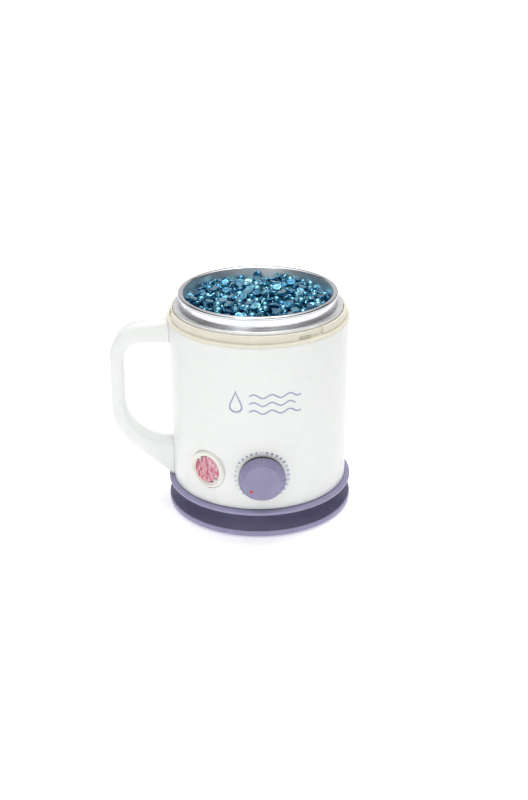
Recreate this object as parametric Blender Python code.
"""Electric wax warmer pot: a mug-shaped heater with a lift-out wax pot.

The frame has +Z up, +X to the right and -Y towards the front, where the dial is.
The origin is on the pot's axis, on the surface that the feet stand on.
Sizes below are in millimetres; every mesh is scaled to metres as it is made.
"""

from math import cos, hypot, pi, radians, sin

import bmesh
import bpy
from mathutils import Matrix, Vector

MM = 0.001

# How finely round shapes are divided.
BIG_STEPS = 36
SMALL_STEPS = 18
SCREW_STEPS = 8

GAP = 0.3  # left between pieces that touch

# Base: a lower disc, a dark waisted band and an upper ring.
BASE_R = 65.0
BASE_BOTTOM = 1.2
BASE_FLOOR_TOP = 4.2
BASE_RIM_INNER_R = 58.0
BASE_RIM_TOP = 5.7
BAND_BOTTOM = BASE_RIM_TOP + GAP
BAND_TOP = 17.4
BAND_LOWER_R = 64.4
BAND_UPPER_R = 57.5
BAND_HOLLOW = 1.2  # how far the band's side curves in from a straight cone
BAND_WALL = 2.6
RING_BOTTOM = BAND_TOP + GAP
RING_TOP = 20.2
RING_INNER_R = 43.0
RING_EDGE = 0.8

FOOT_R = 6.0
FOOT_TOP = 2.4
FOOT_CIRCLE_R = 54.0
FOOT_AZIMUTHS = (0, 90, 180, 270)

# Fixing screws that hold the base to the housing.
BASE_SCREW_CIRCLE_R = 48.0
BASE_SCREW_AZIMUTHS = (45, 135, 225, 315)
BASE_SCREW_HEAD_R = 3.2
BASE_SCREW_SHANK_R = 1.3
BASE_SCREW_TOP = 32.0
SLEEVE_R = 4.2

# Housing: a slightly tapered white tube with a floor ring.
HOUSING_BOTTOM = 20.6
HOUSING_TOP = 138.0
HOUSING_BOTTOM_R = 61.24
HOUSING_TOP_R = 61.9
HOUSING_WALL = 2.4
HOUSING_FLOOR_INNER_R = 44.0
HOUSING_FLOOR_TOP = 22.8
BOSS_R = 3.8
BOSS_TOP = 36.0
PILLAR_R = 4.2
PILLAR_TOP = 55.4
PILLAR_CIRCLE_R = 50.0
PILLAR_AZIMUTHS = (60, 240)

# Cream collar with three bayonet slots for a guard ring.
COLLAR_BOTTOM = HOUSING_TOP + GAP
COLLAR_LIP_R = 62.6
COLLAR_LIP_TOP = 140.3
COLLAR_BAND_R = 60.3
COLLAR_TOP = 145.8
COLLAR_SKIRT_BOTTOM = 131.5
COLLAR_SKIRT_R = 58.9
COLLAR_BORE_R = 57.0
REBATE_R = 58.4
REBATE_FLOOR = 143.6
SLOT_FLOOR_R = 59.1
SLOT_AZIMUTHS = (38.6, 158.6, 278.6)
SLOT_HALF_ENTRY = 4.7
SLOT_CHANNEL = 9.5
SLOT_BOTTOM = 140.9
SLOT_CHANNEL_TOP = 143.9

# Aluminium heating well, with its flange on the collar and a stud below.
WELL_R = 52.4
WELL_WALL = 1.2
WELL_FLOOR_TOP = 65.7
WELL_FLOOR = 2.5
WELL_FLANGE_R = 57.98
WELL_FLANGE_BOTTOM = 144.9
WELL_FLANGE_TOP = 147.9
WELL_CORNER = 3.0
STUD_R = 2.0
STUD_BOTTOM = 50.0

# Wax pot with a rolled rim, and the wax in it.
POT_R = 51.6
POT_WALL = 0.8
POT_BOTTOM = WELL_FLOOR_TOP + GAP
POT_RIM_R = 54.63
POT_RIM_TOP = 156.7
POT_RIM_HEIGHT = 4.0
POT_RIM_WIDTH = 3.0
WAX_EDGE_TOP = 149.4
WAX_MIDDLE_TOP = 151.6

# Heater, insulation and what holds the well down.
HEATER_INNER_R = 53.9
HEATER_OUTER_R = 55.4
HEATER_Z = (72.0, 112.0)
HEATER_HALF_GAP = 4.0
INSULATION_INNER_R = 55.8
INSULATION_OUTER_R = 58.3
INSULATION_Z = (70.0, 114.0)
INSULATION_HALF_GAP = 15.0
EAR_Z = (86.0, 98.0)
SHIELD_R = 42.0
SHIELD_Z = (57.8, 58.8)
BRACKET_Z = (55.7, 57.5)
BRACKET_HALF_WIDTH = 7.0
SPACER_Z = (59.1, 62.9)

# Dial: the knob's back plane lies this far from the pot's axis.
KNOB_BACK = 61.9
KNOB_Z = 45.6
KNOB_SKIRT_R = 16.0
KNOB_FACE_R = 13.25
KNOB_DEPTH = 8.1
SHAFT_R = 3.0
BUSH_R = 4.8
BUSH_END = 64.4
POINTER_ANGLE = 222.0
POINTER_CIRCLE_R = 10.0
POINTER_R = 0.9

# Switch: azimuth is measured from the front towards +X.
SWITCH_AZIMUTH = -36.5
SWITCH_BACK = 60.2
SWITCH_Z = 46.2
BEZEL_R = 13.6
BEZEL_BORE_R = 9.75
ROCKER_R = 9.2
ROCKER_PIVOT_DEPTH = 1.6
ROCKER_FACE_HEIGHT = 3.0
ROCKER_TILT = 10.0
ROCKER_AXIS_ANGLE = -49.0
BARREL_R = 10.6

# Cord inlet at the rear. The cord itself isn't part of the model.
GROMMET_DISTANCE = 61.3
GROMMET_Z = 34.0
GROMMET_BORE_R = 3.6

# Handle: two half shells that meet in the plane y = 0.
HANDLE_HALF_WIDTH = 8.0
HANDLE_EDGE = 2.8
HANDLE_WALL = 2.2
HANDLE_SEAM = 0.15
HANDLE_ROOT_X = -57.0  # inside the housing wall, and trimmed to it
HANDLE_POCKET_END_X = -67.0
# Corners of the side view as (x, z, radius of the corner).
HANDLE_OUTER = (
    (HANDLE_ROOT_X, 137.7, 0),
    (-102.0, 133.2, 24.6),
    (-103.5, 55.8, 41.5),
    (-62.3, 21.1, 0),
    (HANDLE_ROOT_X, 21.1, 0),
)
HANDLE_INNER = (
    (HANDLE_ROOT_X, 46.9, 0),
    (-68.6, 46.9, 18.1),
    (-93.9, 56.3, 31.2),
    (-93.1, 121.3, 11.9),
    (HANDLE_ROOT_X, 121.3, 0),
)
HANDLE_ARC_STEP = 12.0  # degrees between points of a corner
HANDLE_SCREWS = ((-78.0, 128.4), (-98.2, 88.0), (-79.0, 42.9))
HANDLE_BOLT_ZS = (34.0, 128.4)
HANDLE_BOLT_Y = 4.0


# ---------------------------------------------------------------- materials


def linear(value):
    """An sRGB channel from 0 to 255 as a linear one from 0 to 1."""
    value /= 255
    return value / 12.92 if value <= 0.04045 else ((value + 0.055) / 1.055) ** 2.4


def material(name, colour, roughness, metallic=0.0, alpha=1.0):
    made = bpy.data.materials.new(name)
    made.use_nodes = True
    shader = made.node_tree.nodes["Principled BSDF"]
    shader.inputs["Base Color"].default_value = (*map(linear, colour), 1)
    shader.inputs["Roughness"].default_value = roughness
    shader.inputs["Metallic"].default_value = metallic
    shader.inputs["Alpha"].default_value = alpha
    return made


# ------------------------------------------------------------ shape helpers


def scene_object(name, data, frame):
    obj = bpy.data.objects.new(name, data)
    bpy.context.scene.collection.objects.link(obj)
    placed = frame.copy()
    placed.translation = frame.translation * MM
    obj.matrix_world = placed
    return obj


def solid(name, bm, look=None, frame=None):
    """The bmesh, drawn in millimetres, as a named object in metres."""
    bmesh.ops.remove_doubles(bm, verts=bm.verts, dist=0.001)
    bmesh.ops.recalc_face_normals(bm, faces=bm.faces)
    bmesh.ops.scale(bm, vec=(MM, MM, MM), verts=bm.verts)
    mesh = bpy.data.meshes.new(name)
    bm.to_mesh(mesh)
    bm.free()
    mesh.shade_smooth()
    mesh.set_sharp_from_angle(angle=radians(32))
    if look:
        mesh.materials.append(look)
    return scene_object(name, mesh, frame or Matrix.Identity(4))


def boolean(target, other, operation):
    """Cuts or joins with a helper object that no render shows."""
    other.hide_render = True
    other.display_type = "WIRE"
    modifier = target.modifiers.new(other.name, "BOOLEAN")
    modifier.operation = operation
    modifier.object = other
    modifier.solver = "EXACT"


def cut(target, *others):
    for other in others:
        boolean(target, other, "DIFFERENCE")


def join(target, *others):
    for other in others:
        boolean(target, other, "UNION")


def turned(profile, steps=SMALL_STEPS):
    """A full turn about Z of a closed outline of (radius, height) points."""
    bm = bmesh.new()
    points = [bm.verts.new((r, 0, z)) for r, z in profile]
    lines = [bm.edges.new(pair) for pair in zip(points, points[1:])]
    if profile[0][0] > 0 or profile[-1][0] > 0:
        lines.append(bm.edges.new((points[-1], points[0])))
    bmesh.ops.spin(
        bm,
        geom=points + lines,
        cent=(0, 0, 0),
        axis=(0, 0, 1),
        angle=2 * pi,
        steps=steps,
        use_merge=True,
    )
    return bm


def stacked(levels):
    """A closed solid through flat outlines, given as (points, height) from one end to the other."""
    bm = bmesh.new()
    rings = [[bm.verts.new((x, y, z)) for x, y in outline] for outline, z in levels]
    bm.faces.new(rings[0])
    bm.faces.new(rings[-1])
    for lower, upper in zip(rings, rings[1:]):
        for i in range(len(lower)):
            j = (i + 1) % len(lower)
            bm.faces.new((lower[i], lower[j], upper[j], upper[i]))
    return bm


def prism(outline, low, high):
    """A flat outline of (x, y) points, raised along Z from low to high."""
    return stacked(((outline, low), (outline, high)))


def block(low, high):
    """A box between two corners."""
    outline = ((low[0], low[1]), (high[0], low[1]), (high[0], high[1]), (low[0], high[1]))
    return prism(outline, low[2], high[2])


def rod(radius, low, high, steps=SMALL_STEPS):
    return turned(((0, high), (radius, high), (radius, low), (0, low)), steps)


def washer(outer, inner, low, high, steps=SMALL_STEPS):
    return turned(((inner, high), (outer, high), (outer, low), (inner, low)), steps)


def sector(inner, outer, low, high, start, end, steps):
    """A stretch of ring between two azimuths, in degrees from the front towards +X."""
    azimuths = [radians(start + (end - start) * i / steps) for i in range(steps + 1)]
    near = [(inner * sin(a), -inner * cos(a)) for a in azimuths]
    far = [(outer * sin(a), -outer * cos(a)) for a in reversed(azimuths)]
    return prism(near + far, low, high)


def hexagon(across_corners_r, low, high):
    corners = [radians(60 * i) for i in range(6)]
    outline = [(across_corners_r * cos(a), across_corners_r * sin(a)) for a in corners]
    return prism(outline, low, high)


def at(x, y, z):
    return Matrix.Translation((x, y, z))


def on_circle(radius, azimuth, z=0.0):
    a = radians(azimuth)
    return Vector((radius * sin(a), -radius * cos(a), z))


def wall_frame(azimuth, distance, height):
    """A frame facing outward: X to the right seen from outside, Y up, Z outward."""
    a = radians(azimuth)
    right = Vector((cos(a), sin(a), 0))
    outward = Vector((sin(a), -cos(a), 0))
    frame = Matrix((right, Vector((0, 0, 1)), outward)).transposed().to_4x4()
    frame.translation = outward * distance + Vector((0, 0, height))
    return frame


def screw(name, look, frame, head_r, head, shank_r, length):
    """A slotted screw: its head rises from the frame's origin, its shank goes down."""
    profile = (
        (0, head),
        (head_r, head),
        (head_r, 0),
        (shank_r, 0),
        (shank_r, -length),
        (0, -length),
    )
    made = solid(name, turned(profile, SCREW_STEPS), look, frame)
    slot = block((-head_r - 1, -0.35, head * 0.55), (head_r + 1, 0.35, head + 1))
    cut(made, solid(name + "_slot", slot, frame=frame))
    return made


def smooth_path(points, per_span):
    """Points along a Catmull-Rom curve through the given ones."""
    points = [Vector(p) for p in points]
    padded = [2 * points[0] - points[1], *points, 2 * points[-1] - points[-2]]
    path = []
    for i in range(1, len(padded) - 2):
        a, b, c, d = padded[i - 1 : i + 3]
        for k in range(per_span):
            t = k / per_span
            bend = 2 * a - 5 * b + 4 * c - d
            twist = 3 * b - a - 3 * c + d
            path.append(0.5 * (2 * b + (c - a) * t + bend * t**2 + twist * t**3))
    return [*path, points[-1]]


def wire(name, look, route, diameter, per_span=3):
    """A round lead along a smooth curve through the route's points."""
    curve = bpy.data.curves.new(name, "CURVE")
    curve.dimensions = "3D"
    curve.bevel_depth = diameter / 2 * MM
    curve.bevel_resolution = 1
    curve.use_fill_caps = True
    path = smooth_path(route, per_span)
    spline = curve.splines.new("POLY")
    spline.points.add(len(path) - 1)
    for point, place in zip(spline.points, path):
        point.co = (*(place * MM), 1)
    curve.materials.append(look)
    return scene_object(name, curve, Matrix.Identity(4))


def housing_r(z):
    """The housing's outer radius at a height."""
    share = (z - HOUSING_BOTTOM) / (HOUSING_TOP - HOUSING_BOTTOM)
    return HOUSING_BOTTOM_R + (HOUSING_TOP_R - HOUSING_BOTTOM_R) * share


# --------------------------------------------------------------------- base


def base_plate(look):
    profile = (
        (0, BASE_FLOOR_TOP),
        (BASE_RIM_INNER_R, BASE_FLOOR_TOP),
        (BASE_RIM_INNER_R, BASE_RIM_TOP),
        (BASE_R - 0.5, BASE_RIM_TOP),
        (BASE_R, BASE_RIM_TOP - 0.5),
        (BASE_R, BASE_BOTTOM + 0.9),
        (BASE_R - 0.9, BASE_BOTTOM),
        (0, BASE_BOTTOM),
    )
    plate = solid("base_plate", turned(profile, BIG_STEPS), look)
    pocket_r = FOOT_R + GAP
    for azimuth in BASE_SCREW_AZIMUTHS:
        place = Matrix.Translation(on_circle(BASE_SCREW_CIRCLE_R, azimuth))
        sleeve = rod(SLEEVE_R, BASE_BOTTOM + 1.0, BAND_TOP, 10)
        join(plate, solid(f"sleeve_{azimuth}", sleeve, frame=place))
    for azimuth in BASE_SCREW_AZIMUTHS:
        place = Matrix.Translation(on_circle(BASE_SCREW_CIRCLE_R, azimuth))
        stepped = (
            (0, BAND_TOP + 1),
            (BASE_SCREW_SHANK_R + GAP, BAND_TOP + 1),
            (BASE_SCREW_SHANK_R + GAP, 4.0),
            (BASE_SCREW_HEAD_R + GAP, 4.0),
            (BASE_SCREW_HEAD_R + GAP, 0),
            (0, 0),
        )
        cut(plate, solid(f"screw_well_{azimuth}", turned(stepped, SCREW_STEPS), frame=place))
    for azimuth in FOOT_AZIMUTHS:
        place = Matrix.Translation(on_circle(FOOT_CIRCLE_R, azimuth))
        cut(plate, solid(f"foot_pocket_{azimuth}", rod(pocket_r, 0, FOOT_TOP + GAP, 12), frame=place))
    cut(plate, solid("middle_pocket", rod(pocket_r, 0, FOOT_TOP + GAP, 12)))
    for i in range(8):
        vent = block((20, -1.5, 0), (34, 1.5, BASE_FLOOR_TOP + 1))
        turn = Matrix.Rotation(radians(45 * i + 22.5), 4, "Z")
        cut(plate, solid(f"vent_{i}", vent, frame=turn))


def base_band(look):
    """The waisted side between the two lilac discs."""
    steps = 3
    outer = []
    for i in range(steps + 1):
        t = i / steps
        r = BAND_LOWER_R + (BAND_UPPER_R - BAND_LOWER_R) * t - BAND_HOLLOW * sin(pi * t)
        outer.append((r, BAND_BOTTOM + (BAND_TOP - BAND_BOTTOM) * t))
    inner = [(r - BAND_WALL, z) for r, z in reversed(outer)]
    solid("base_band", turned(outer + inner, BIG_STEPS), look)


def base_ring(look):
    profile = (
        (RING_INNER_R, RING_TOP),
        (BASE_R - RING_EDGE, RING_TOP),
        (BASE_R, RING_TOP - RING_EDGE),
        (BASE_R, RING_BOTTOM + 0.5),
        (BASE_R - 0.5, RING_BOTTOM),
        (RING_INNER_R, RING_BOTTOM),
    )
    ring = solid("base_ring", turned(profile, BIG_STEPS), look)
    for azimuth in BASE_SCREW_AZIMUTHS:
        place = Matrix.Translation(on_circle(BASE_SCREW_CIRCLE_R, azimuth))
        hole = rod(BASE_SCREW_SHANK_R + GAP, RING_BOTTOM - 1, RING_TOP + 1, SCREW_STEPS)
        cut(ring, solid(f"ring_hole_{azimuth}", hole, frame=place))


def feet(look):
    profile = (
        (0, FOOT_TOP),
        (FOOT_R, FOOT_TOP),
        (FOOT_R, 0.5),
        (FOOT_R - 0.5, 0),
        (0, 0),
    )
    for i, azimuth in enumerate(FOOT_AZIMUTHS):
        place = Matrix.Translation(on_circle(FOOT_CIRCLE_R, azimuth))
        solid(f"foot_{i + 1}", turned(profile, 12), look, place)
    solid("middle_foot", turned(profile, 12), look)


def base_screws(look):
    upside_down = Matrix.Rotation(pi, 4, "X")
    for i, azimuth in enumerate(BASE_SCREW_AZIMUTHS):
        place = Matrix.Translation(on_circle(BASE_SCREW_CIRCLE_R, azimuth, 3.7)) @ upside_down
        length = BASE_SCREW_TOP - 3.7
        screw(f"base_screw_{i + 1}", look, place, BASE_SCREW_HEAD_R, 2.2, BASE_SCREW_SHANK_R, length)


# ------------------------------------------------------- housing and collar


def housing(look):
    top = HOUSING_TOP
    profile = (
        (HOUSING_TOP_R - HOUSING_WALL, top),
        (HOUSING_TOP_R - 0.4, top),
        (HOUSING_TOP_R, top - 0.4),
        (HOUSING_BOTTOM_R, HOUSING_BOTTOM + 0.4),
        (HOUSING_BOTTOM_R - 0.4, HOUSING_BOTTOM),
        (HOUSING_FLOOR_INNER_R, HOUSING_BOTTOM),
        (HOUSING_FLOOR_INNER_R, HOUSING_FLOOR_TOP),
        (HOUSING_BOTTOM_R - HOUSING_WALL, HOUSING_FLOOR_TOP),
    )
    shell = solid("housing", turned(profile, BIG_STEPS), look)
    inside = HOUSING_BOTTOM + 0.8
    for azimuth in BASE_SCREW_AZIMUTHS:
        place = Matrix.Translation(on_circle(BASE_SCREW_CIRCLE_R, azimuth))
        join(shell, solid(f"boss_{azimuth}", rod(BOSS_R, inside, BOSS_TOP, 10), frame=place))
    for azimuth in PILLAR_AZIMUTHS:
        place = Matrix.Translation(on_circle(PILLAR_CIRCLE_R, azimuth))
        join(shell, solid(f"pillar_{azimuth}", rod(PILLAR_R, inside, PILLAR_TOP, 10), frame=place))
    switch = wall_frame(SWITCH_AZIMUTH, 0, SWITCH_Z)
    join(shell, solid("switch_pad", rod(15.5, 56.0, 59.0), frame=switch))
    for azimuth in BASE_SCREW_AZIMUTHS:
        place = Matrix.Translation(on_circle(BASE_SCREW_CIRCLE_R, azimuth))
        pilot = rod(BASE_SCREW_SHANK_R + GAP, 0, BASE_SCREW_TOP + 1, SCREW_STEPS)
        cut(shell, solid(f"pilot_{azimuth}", pilot, frame=place))
    for azimuth in PILLAR_AZIMUTHS:
        place = Matrix.Translation(on_circle(PILLAR_CIRCLE_R, azimuth))
        pilot = rod(1.5, 44, PILLAR_TOP + 1, SCREW_STEPS)
        cut(shell, solid(f"pillar_pilot_{azimuth}", pilot, frame=place))
    cut(shell, solid("switch_pocket", rod(14.0, SWITCH_BACK - GAP, 70, 28), frame=switch))
    cut(shell, solid("switch_hole", rod(BARREL_R + GAP, 50, 70), frame=switch))
    dial = wall_frame(0, 0, KNOB_Z)
    cut(shell, solid("bush_hole", rod(BUSH_R + 0.4, 50, 70), frame=dial))
    rear = wall_frame(180, 0, GROMMET_Z)
    cut(shell, solid("cord_hole", rod(6.0, 50, 70, 26), frame=rear))
    for i, (y, z) in enumerate((y, z) for z in HANDLE_BOLT_ZS for y in (-HANDLE_BOLT_Y, HANDLE_BOLT_Y)):
        frame = at(0, y, z) @ Matrix.Rotation(-pi / 2, 4, "Y")
        cut(shell, solid(f"bolt_hole_{i}", rod(1.8, 50, 70, SCREW_STEPS), frame=frame))


def collar_ring(look):
    profile = (
        (REBATE_R, COLLAR_TOP),
        (COLLAR_BAND_R - 0.4, COLLAR_TOP),
        (COLLAR_BAND_R, COLLAR_TOP - 0.4),
        (COLLAR_BAND_R, COLLAR_LIP_TOP),
        (COLLAR_LIP_R - 0.5, COLLAR_LIP_TOP),
        (COLLAR_LIP_R, COLLAR_LIP_TOP - 0.5),
        (COLLAR_LIP_R - 0.1, COLLAR_BOTTOM),
        (COLLAR_SKIRT_R, COLLAR_BOTTOM),
        (COLLAR_SKIRT_R, COLLAR_SKIRT_BOTTOM),
        (COLLAR_BORE_R, COLLAR_SKIRT_BOTTOM),
        (COLLAR_BORE_R, REBATE_FLOOR - 2),
        (COLLAR_BORE_R - 1.6, REBATE_FLOOR - 2),
        (COLLAR_BORE_R - 1.6, REBATE_FLOOR),
        (REBATE_R, REBATE_FLOOR),
    )
    ring = solid("collar_ring", turned(profile, BIG_STEPS), look)
    for i, azimuth in enumerate(SLOT_AZIMUTHS):
        left = azimuth - SLOT_HALF_ENTRY
        right = azimuth + SLOT_HALF_ENTRY
        entry = sector(SLOT_FLOOR_R, 66, SLOT_BOTTOM, COLLAR_TOP + 2, left, right, 4)
        channel_left = left - SLOT_CHANNEL
        channel = sector(SLOT_FLOOR_R, 66, SLOT_BOTTOM, SLOT_CHANNEL_TOP, channel_left, left + 1, 4)
        cut(ring, solid(f"slot_entry_{i}", entry), solid(f"slot_channel_{i}", channel))


def well_gasket(look):
    low = REBATE_FLOOR + GAP
    high = WELL_FLANGE_BOTTOM - GAP
    solid("well_gasket", washer(REBATE_R - GAP, 55.6, low, high, BIG_STEPS), look)


# ------------------------------------------------------- well, pot and wax


def heating_well(look):
    wall_outer = WELL_R + WELL_WALL
    floor_bottom = WELL_FLOOR_TOP - WELL_FLOOR
    profile = (
        (0, WELL_FLOOR_TOP),
        (WELL_R - WELL_CORNER, WELL_FLOOR_TOP),
        (WELL_R - 0.9, WELL_FLOOR_TOP + 0.9),
        (WELL_R, WELL_FLOOR_TOP + WELL_CORNER),
        (WELL_R, WELL_FLANGE_TOP - 1.8),
        (WELL_R + 0.5, WELL_FLANGE_TOP - 0.6),
        (WELL_R + 1.6, WELL_FLANGE_TOP),
        (WELL_FLANGE_R - 0.5, WELL_FLANGE_TOP),
        (WELL_FLANGE_R, WELL_FLANGE_TOP - 0.5),
        (WELL_FLANGE_R, WELL_FLANGE_BOTTOM),
        (wall_outer, WELL_FLANGE_BOTTOM),
        (wall_outer, floor_bottom + WELL_CORNER),
        (wall_outer - WELL_CORNER, floor_bottom),
        (STUD_R, floor_bottom),
        (STUD_R, STUD_BOTTOM),
        (0, STUD_BOTTOM),
    )
    solid("heating_well", turned(profile, BIG_STEPS), look)


def wax_pot(look):
    """A drawn aluminium can whose edge is rolled outward into a bead."""
    inner = POT_R - POT_WALL
    rim_r = POT_RIM_R - POT_RIM_WIDTH / 2
    rim_z = POT_RIM_TOP - POT_RIM_HEIGHT / 2
    bead = []
    for i in range(6):
        a = radians(165 - 46 * i)
        bead.append((rim_r + POT_RIM_WIDTH / 2 * cos(a), rim_z + POT_RIM_HEIGHT / 2 * sin(a)))
    corner = 4.0
    profile = [
        (0, POT_BOTTOM + POT_WALL),
        (inner - corner, POT_BOTTOM + POT_WALL),
        (inner - 1.2, POT_BOTTOM + POT_WALL + 1.2),
        (inner, POT_BOTTOM + corner),
        (inner, rim_z - 3.4),
        *bead,
        (POT_R + 1.3, POT_RIM_TOP - POT_RIM_HEIGHT - 0.6),
        (POT_R, POT_RIM_TOP - POT_RIM_HEIGHT - 2.2),
        (POT_R, POT_BOTTOM + corner),
        (POT_R - 1.2, POT_BOTTOM + 1.2),
        (POT_R - corner, POT_BOTTOM),
        (0, POT_BOTTOM),
    ]
    solid("wax_pot", turned(profile, BIG_STEPS), look)


def wax_beads(look):
    """The filling, as one solid with a slightly heaped top."""
    radius = POT_R - POT_WALL - GAP
    floor = POT_BOTTOM + POT_WALL + GAP
    rise = WAX_MIDDLE_TOP - WAX_EDGE_TOP
    steps = 3
    top = [(radius * i / steps, WAX_EDGE_TOP + rise * (1 - (i / steps) ** 2)) for i in range(steps + 1)]
    profile = [*top, (radius, floor + 4.2), (radius - 4.2, floor), (0, floor)]
    solid("wax_beads", turned(profile, BIG_STEPS), look)


# ------------------------------------------------------------ heater parts


def heater(steel, ceramic, fibre):
    back = 180.0
    low, high = HEATER_Z
    start = back - 360 + HEATER_HALF_GAP
    end = back - HEATER_HALF_GAP
    band = solid("heater_band", sector(HEATER_INNER_R, HEATER_OUTER_R, low, high, start, end, 36), steel)
    for side in (-1, 1):
        corners = sorted((side * 3.95, side * 5.15))
        ear = block((corners[0], 54.3, EAR_Z[0]), (corners[1], 58.2, EAR_Z[1]))
        join(band, solid(f"ear_{side}", ear))
    middle = sum(EAR_Z) / 2
    along_x = at(5.5, 56.8, middle) @ Matrix.Rotation(pi / 2, 4, "Y")
    bore = rod(1.15, -16, 6, SCREW_STEPS)
    cut(band, solid("clamp_bore", bore, frame=along_x))
    screw("heater_clamp_screw", steel, along_x, 1.7, 1.6, 0.85, 13.0)
    for i, x in enumerate((-8.7, 8.7)):
        body = block((x - 1.9, 55.2, 76), (x + 1.9, 57.6, 82))
        solid(f"heater_terminal_{i + 1}", body, ceramic)
    low, high = INSULATION_Z
    start = back - 360 + INSULATION_HALF_GAP
    end = back - INSULATION_HALF_GAP
    sleeve = sector(INSULATION_INNER_R, INSULATION_OUTER_R, low, high, start, end, 36)
    solid("insulation_sleeve", sleeve, fibre)


def well_support(steel, ceramic):
    low, high = SHIELD_Z
    profile = (
        (STUD_R + GAP, high),
        (SHIELD_R - 1, high),
        (SHIELD_R - 1, high + 2.5),
        (SHIELD_R, high + 2.5),
        (SHIELD_R, low),
        (STUD_R + GAP, low),
    )
    solid("heat_shield", turned(profile, 24), steel)
    solid("well_spacer", washer(7.0, STUD_R + GAP, *SPACER_Z), ceramic)
    reach = PILLAR_CIRCLE_R + 4
    strip = block((-reach, -BRACKET_HALF_WIDTH, BRACKET_Z[0]), (reach, BRACKET_HALF_WIDTH, BRACKET_Z[1]))
    turn = Matrix.Rotation(radians(PILLAR_AZIMUTHS[0] - 90), 4, "Z")
    bracket = solid("support_bracket", strip, steel, turn)
    cut(bracket, solid("stud_hole", rod(STUD_R + GAP, 50, 60, SCREW_STEPS)))
    for i, azimuth in enumerate(PILLAR_AZIMUTHS):
        spot = on_circle(PILLAR_CIRCLE_R, azimuth)
        hole = rod(1.6, 50, 60, SCREW_STEPS)
        cut(bracket, solid(f"bracket_hole_{i}", hole, frame=Matrix.Translation(spot)))
        seat = Matrix.Translation(spot + Vector((0, 0, BRACKET_Z[1] + GAP)))
        screw(f"bracket_screw_{i + 1}", steel, seat, 3.0, 2.0, 1.2, 11.0)
    nut = solid("well_nut", hexagon(4.2, 52.0, BRACKET_Z[0] - GAP), steel)
    cut(nut, solid("nut_hole", rod(STUD_R + GAP, 45, 60, SCREW_STEPS)))


def sensing(steel, copper):
    along_x = Matrix.Rotation(pi / 2, 4, "Y")
    solid("thermal_fuse", rod(1.4, -6, 6, SCREW_STEPS), steel, at(20, 12, 61) @ along_x)
    solid("sensor_bulb", rod(1.4, -11, 11, SCREW_STEPS), copper, at(-22, 12, 61) @ along_x)
    route = (
        (-33.4, 12, 61),
        (-38, 11, 61.8),
        (-45, 9, 62.0),
        (-48, 2, 56),
        (-42, -3, 50),
        (-26, -2, 48),
        (-10, -10, 48),
        (0, -22, 50),
        (3, -31.3, 50),
    )
    wire("sensor_capillary", copper, route, 1.2, per_span=2)


# ----------------------------------------------------------------- controls


def thermostat(steel, plastic, brass):
    dial = wall_frame(0, 0, KNOB_Z)
    case = prism(((-12, -10), (12, -10), (12, 10), (-12, 10)), 32, 54.7)
    body = solid("thermostat_body", case, plastic, dial)
    join(body, solid("bush", rod(BUSH_R, 50, BUSH_END), frame=dial))
    cut(body, solid("shaft_bore", rod(SHAFT_R + GAP, 46, 70), frame=dial))
    plate = solid("thermostat_plate", block((-15, -12, 55.0), (15, 12, 56.2)), steel, dial)
    cut(plate, solid("plate_hole", rod(BUSH_R + GAP, 50, 60), frame=dial))
    nut = solid("thermostat_nut", hexagon(7.4, 61.75, 64.0), brass, dial)
    cut(nut, solid("thermostat_nut_hole", rod(BUSH_R + GAP, 55, 70), frame=dial))
    solid("thermostat_shaft", rod(SHAFT_R, 47.0, KNOB_BACK + 5.9), steel, dial)


def knob(look, red):
    """A hollow dial knob; its origin is on its axis, in its back plane."""
    frame = wall_frame(0, KNOB_BACK, KNOB_Z)
    depth = KNOB_DEPTH
    profile = (
        (0, depth),
        (KNOB_FACE_R, depth),
        (KNOB_FACE_R + 0.6, depth - 0.6),
        (KNOB_SKIRT_R, 0.7),
        (KNOB_SKIRT_R, 0),
        (KNOB_SKIRT_R - 1.8, 0),
        (KNOB_FACE_R - 1.2, depth - 2.4),
        (5.6, depth - 2.4),
        (5.6, 3.1),
        (SHAFT_R + GAP, 3.1),
        (SHAFT_R + GAP, depth - 1.9),
        (0, depth - 1.9),
    )
    made = solid("knob", turned(profile, 32), look, frame)
    a = radians(POINTER_ANGLE)
    spot = frame @ at(POINTER_CIRCLE_R * cos(a), POINTER_CIRCLE_R * sin(a), 0)
    pocket = rod(POINTER_R + GAP, depth - 0.9, depth + 1, SCREW_STEPS)
    cut(made, solid("pointer_pocket", pocket, frame=spot))
    solid("knob_pointer", rod(POINTER_R, depth - 0.6, depth + 0.15, SCREW_STEPS), red, spot)


def switch(cream, black, red):
    frame = wall_frame(SWITCH_AZIMUTH, SWITCH_BACK, SWITCH_Z)
    ring = (
        (BEZEL_BORE_R, 1.6),
        (10.9, 1.9),
        (12.0, 2.4),
        (12.9, 2.1),
        (BEZEL_R, 1.0),
        (BEZEL_R, 0),
        (BEZEL_BORE_R, 0),
    )
    solid("switch_bezel", turned(ring, 28), cream, frame)
    barrel = (
        (0, -6.2),
        (BEZEL_BORE_R, -6.2),
        (BEZEL_BORE_R, -GAP),
        (BARREL_R, -GAP),
        (BARREL_R, -14),
        (8.5, -14),
        (8.5, -26),
        (0, -26),
    )
    solid("switch_body", turned(barrel), black, frame)
    pivot = frame @ at(0, 0, -ROCKER_PIVOT_DEPTH) @ Matrix.Rotation(radians(ROCKER_AXIS_ANGLE), 4, "Z")
    rocker(red, pivot)


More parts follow.
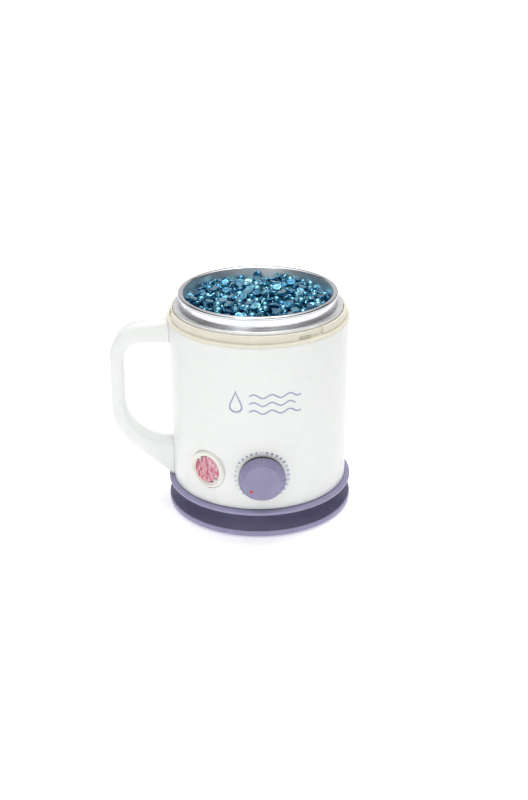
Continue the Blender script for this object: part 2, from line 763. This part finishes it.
def rocker(look, pivot):
    """A round rocker with a shallow V face. Its origin and local X are its pivot axis.

    It is bounded by a round bore in both of its end positions, so it never rubs.
    At rest its upper right half is pressed in, level with the bezel.
    """
    rise = ROCKER_R * sin(radians(ROCKER_TILT)) / cos(radians(ROCKER_TILT))
    section = (
        (0, ROCKER_FACE_HEIGHT),
        (-ROCKER_R - 2, ROCKER_FACE_HEIGHT + rise * 1.22),
        (-ROCKER_R - 2, 0.3),
        (-3, -2.0),
        (3, -2.0),
        (ROCKER_R + 2, 0.3),
        (ROCKER_R + 2, ROCKER_FACE_HEIGHT + rise * 1.22),
    )
    tilted = pivot @ Matrix.Rotation(radians(-ROCKER_TILT), 4, "X")
    along_axis = Matrix(((0, 0, 1, 0), (1, 0, 0, 0), (0, 1, 0, 0), (0, 0, 0, 1)))
    bm = prism(section, -ROCKER_R - 2, ROCKER_R + 2)
    bmesh.ops.transform(bm, matrix=along_axis, verts=bm.verts)
    made = solid("switch_rocker", bm, look, tilted)
    for side in (-1, 1):
        turn = Matrix.Rotation(radians(side * ROCKER_TILT), 4, "X")
        bound = solid(f"rocker_bound_{side}", rod(ROCKER_R, -12, 12, 28), frame=tilted @ turn)
        boolean(made, bound, "INTERSECT")


# ------------------------------------------------------- inlet and wiring


def cord_grommet(look):
    frame = wall_frame(180, GROMMET_DISTANCE, GROMMET_Z)
    profile = (
        (GROMMET_BORE_R, 2.4),
        (7.2, 2.4),
        (8.2, 1.4),
        (8.2, 0.5),
        (5.7, 0.5),
        (5.7, -3.3),
        (7.4, -3.3),
        (7.4, -5.0),
        (GROMMET_BORE_R, -5.0),
    )
    solid("cord_grommet", turned(profile), look, frame)


def terminal_block(look):
    low = (-13, 38, HOUSING_FLOOR_TOP + GAP)
    body = solid("terminal_block", block(low, (13, 50, 34)), look)
    for x in (-8, 0, 8):
        cut(body, solid(f"terminal_{x}", rod(2.0, 30, 36, SCREW_STEPS), frame=at(x, 46, 0)))


def wiring(looks):
    routes = {
        "lead_supply": ((-8, 37.6, 30), (-9, 31, 30), (-14, 10, 34), (-22, -8, 44), (-20.3, -20.2, 46.2)),
        "lead_switch": ((-13.7, -25.1, 46.2), (-9, -20, 44), (-5, -22, 42), (-5, -31.6, 41)),
        "lead_thermostat": (
            (8, -31.6, 42),
            (10, -26, 41),
            (20, -8, 38),
            (27, 22, 40),
            (16, 46, 48),
            (9.4, 55.4, 60),
            (8.7, 56.4, 68),
            (8.7, 56.4, 75.6),
        ),
        "lead_heater": (
            (-8.7, 56.4, 75.6),
            (-8.7, 56.4, 66),
            (-10, 53, 54),
            (-12, 46, 45),
            (-8, 41, 38),
            (-8, 41, 34.4),
        ),
        "lead_earth": (
            (0, 37.6, 30),
            (1, 31, 30),
            (6, 16, 34),
            (9, 0, 42),
            (8.7, -5, 50),
            (8.7, -5, 55.3),
        ),
    }
    for name, route in routes.items():
        wire(name, looks[name], route, 2.0)


# ------------------------------------------------------------------- handle


def rounded_path(corners):
    """A path of straight runs whose corners are arcs of the given radii."""
    points = [Vector(c[:2]) for c in corners]
    path = [points[0]]
    for i in range(1, len(corners) - 1):
        before, corner, after = points[i - 1 : i + 2]
        radius = corners[i][2]
        if radius == 0:
            path.append(corner)
            continue
        entering = (corner - before).normalized()
        leaving = (after - corner).normalized()
        turn = entering.angle_signed(leaving)
        reach = radius * abs(sin(turn / 2) / cos(turn / 2))
        start = corner - entering * reach
        steps = max(2, round(abs(turn) / radians(HANDLE_ARC_STEP)))
        side = -1 if turn > 0 else 1
        centre = start + side * radius * Vector((-entering.y, entering.x))
        for k in range(steps + 1):
            spoke = start - centre
            spoke.rotate(Matrix.Rotation(-turn * k / steps, 2))
            path.append(centre + spoke)
    return [*path, points[-1]]


def outline_offset(path, distance):
    """The path moved sideways, to its left as it runs."""
    moved = []
    for i, point in enumerate(path):
        before = path[max(i - 1, 0)]
        after = path[min(i + 1, len(path) - 1)]
        dx = after[0] - before[0]
        dy = after[1] - before[1]
        scale = distance / hypot(dx, dy)
        moved.append((point[0] - dy * scale, point[1] + dx * scale))
    return moved


def handle_half(name, look, side):
    """One half shell; side is 1 for the front half and -1 for the rear half."""
    frame = wall_frame(0, 0, 0)
    outer = [(p.x, p.y) for p in rounded_path(HANDLE_OUTER)]
    inner = [(p.x, p.y) for p in rounded_path(HANDLE_INNER)]
    levels = [(outer + inner, side * HANDLE_SEAM)]
    for angle in (0, 45, 90):
        inset = HANDLE_EDGE * (1 - cos(radians(angle)))
        height = HANDLE_HALF_WIDTH - HANDLE_EDGE * (1 - sin(radians(angle)))
        levels.append((outline_offset(outer, inset) + outline_offset(inner, inset), side * height))
    made = solid(name, stacked(levels), look, frame)

    # The outer path runs down with the handle on its left, and so does the inner one coming back.
    pocket = outline_offset(outer, HANDLE_WALL) + outline_offset(inner, HANDLE_WALL)
    pocket = [p for p in pocket if p[0] < HANDLE_POCKET_END_X]
    depth = side * (HANDLE_HALF_WIDTH - HANDLE_WALL)
    ends = sorted((-side * 1.0, depth))
    cut(made, solid(name + "_pocket", prism(pocket, *ends), frame=frame))
    ends = sorted((side * HANDLE_SEAM, side * (HANDLE_HALF_WIDTH - 1.0)))
    for i, (x, z) in enumerate(HANDLE_SCREWS):
        join(made, solid(f"{name}_boss_{i}", rod(3.3, *ends, 10), frame=frame @ at(x, z, 0)))
    for i, (x, z) in enumerate(HANDLE_SCREWS):
        bore = rod(1.3, -9, 5.2, SCREW_STEPS)
        cut(made, solid(f"{name}_bore_{i}", bore, frame=frame @ at(x, z, 0)))
        if side < 0:
            sink = rod(2.6, -9, -5.3, 10)
            cut(made, solid(f"{name}_sink_{i}", sink, frame=frame @ at(x, z, 0)))
    for i, z in enumerate(HANDLE_BOLT_ZS):
        bolt = at(0, -side * HANDLE_BOLT_Y, z) @ Matrix.Rotation(-pi / 2, 4, "Y")
        cut(made, solid(f"{name}_bolt_hole_{i}", rod(1.8, 50, 66, SCREW_STEPS), frame=bolt))
    clearance = (
        (0, 150),
        (housing_r(150) + GAP, 150),
        (housing_r(0) + GAP, 0),
        (0, 0),
    )
    cut(made, solid(name + "_trim", turned(clearance, BIG_STEPS)))


def handle(look, steel):
    handle_half("handle_front", look, 1)
    handle_half("handle_rear", look, -1)
    facing_back = wall_frame(0, 0, 0) @ Matrix.Rotation(pi, 4, "X")
    for i, (x, z) in enumerate(HANDLE_SCREWS):
        place = facing_back @ at(x, -z, 5.6)
        screw(f"handle_screw_{i + 1}", steel, place, 2.3, 1.8, 1.0, 10.0)
    number = 1
    for z in HANDLE_BOLT_ZS:
        for y in (-HANDLE_BOLT_Y, HANDLE_BOLT_Y):
            place = at(-58.0, y, z) @ Matrix.Rotation(pi / 2, 4, "Y")
            screw(f"handle_bolt_{number}", steel, place, 2.8, 1.9, 1.5, 7.6)
            number += 1


# ------------------------------------------------------------------- build


def build():
    for obj in list(bpy.data.objects):
        bpy.data.objects.remove(obj, do_unlink=True)

    white = material("white_plastic", (243, 244, 243), 0.35)
    lilac = material("lilac_plastic", (151, 146, 178), 0.4)
    violet = material("violet_plastic", (88, 84, 112), 0.5)
    cream = material("cream_plastic", (233, 229, 214), 0.4)
    aluminium = material("aluminium", (190, 192, 196), 0.35, 1.0)
    bright = material("polished_aluminium", (225, 227, 230), 0.15, 1.0)
    steel = material("zinc_steel", (170, 172, 172), 0.35, 1.0)
    brass = material("brass", (190, 160, 95), 0.35, 1.0)
    copper = material("copper", (184, 115, 80), 0.35, 1.0)
    rubber = material("black_rubber", (35, 35, 38), 0.8)
    silicone = material("grey_silicone", (120, 120, 122), 0.7)
    ceramic = material("ceramic", (232, 228, 218), 0.6)
    fibre = material("glass_fibre", (225, 222, 205), 0.95)
    black = material("black_plastic", (30, 30, 33), 0.5)
    rocker_red = material("rocker_red", (205, 70, 95), 0.2, alpha=0.9)
    dot_red = material("dot_red", (228, 16, 16), 0.4)
    wax = material("pearl_wax", (50, 120, 150), 0.3, 0.3)
    leads = {
        "lead_supply": material("brown_sleeve", (110, 66, 40), 0.6),
        "lead_switch": material("red_sleeve", (170, 40, 36), 0.6),
        "lead_thermostat": material("white_sleeve", (225, 222, 214), 0.8),
        "lead_heater": material("blue_sleeve", (50, 90, 160), 0.6),
        "lead_earth": material("green_sleeve", (96, 150, 60), 0.6),
    }

    base_plate(lilac)
    base_band(violet)
    base_ring(lilac)
    feet(rubber)
    base_screws(steel)
    housing(white)
    handle(white, steel)
    collar_ring(cream)
    well_gasket(silicone)
    heating_well(aluminium)
    wax_pot(bright)
    wax_beads(wax)
    heater(steel, ceramic, fibre)
    well_support(steel, ceramic)
    sensing(steel, copper)
    thermostat(steel, black, brass)
    knob(lilac, dot_red)
    switch(cream, black, rocker_red)
    cord_grommet(rubber)
    terminal_block(ceramic)
    wiring(leads)


build()
